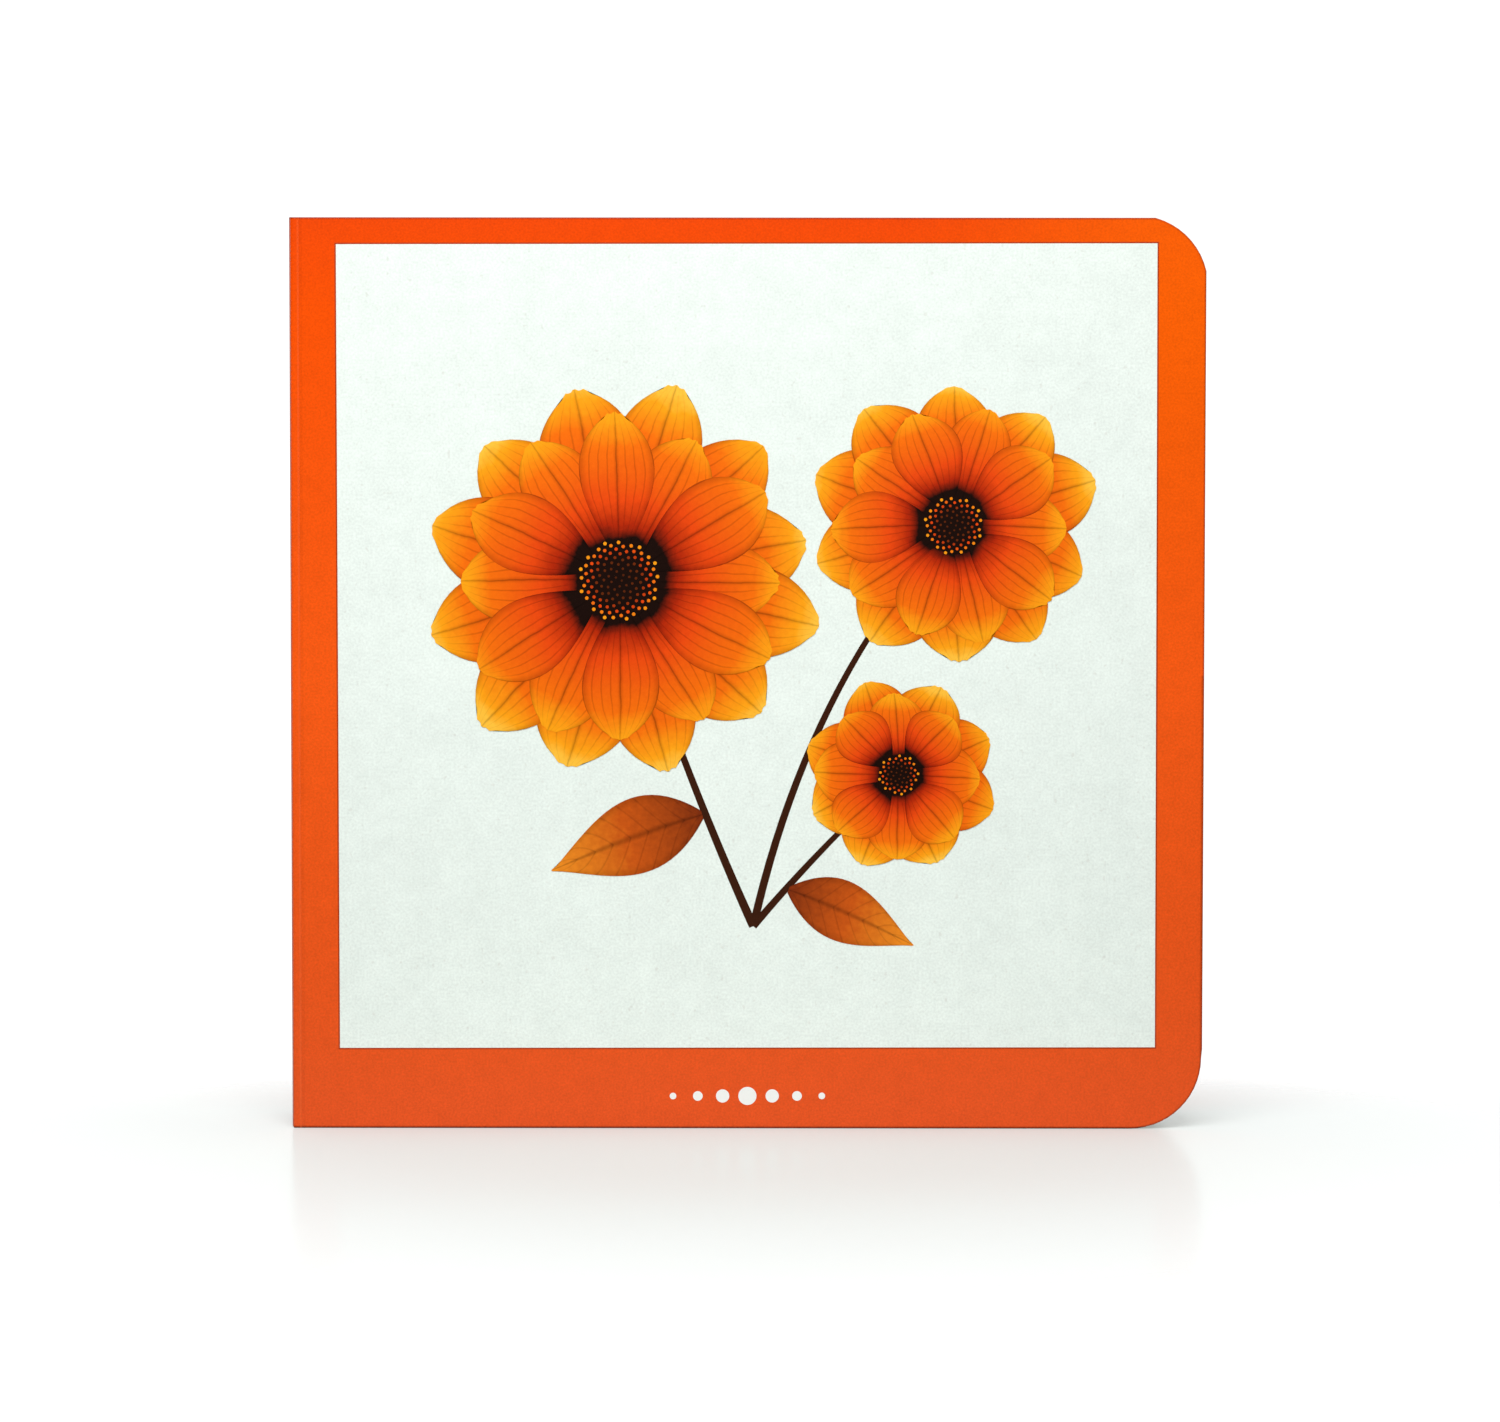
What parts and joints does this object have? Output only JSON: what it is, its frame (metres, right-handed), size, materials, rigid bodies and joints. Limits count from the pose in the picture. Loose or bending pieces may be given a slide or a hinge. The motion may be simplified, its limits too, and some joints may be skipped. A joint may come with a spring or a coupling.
{
  "type": "board book",
  "caption": "Closed square board book with stiff leaves, hinged covers and rounded fore-edge corners, standing on its tail edge.",
  "frame": {"origin": "middle of the tail edge, on the surface that the book stands on", "axes": "+X from the spine to the fore-edge, -Y out of the front cover, +Z from the tail to the head"},
  "size_m": [0.1504, 0.0176, 0.15],
  "materials": {
    "cover_sheet": "gloss",
    "page_board": "satin"
  },
  "bodies": {
    "book": {"page_block": "page_board", "spine": "cover_sheet"},
    "front_board": {"front_cover": "cover_sheet"},
    "back_board": {"back_cover": "cover_sheet"}
  },
  "joints": [
    {"name": "front_cover_hinge", "type": "hinge", "parent": "book", "child": "front_board", "pos_m": [-0.07528, -0.00729, 0.075], "axis": [0, 0, -1], "range_deg": [0, 180]},
    {"name": "back_cover_hinge", "type": "hinge", "parent": "book", "child": "back_board", "pos_m": [-0.07528, 0.00729, 0.075], "axis": [0, 0, 1], "range_deg": [0, 180]}
  ]
}
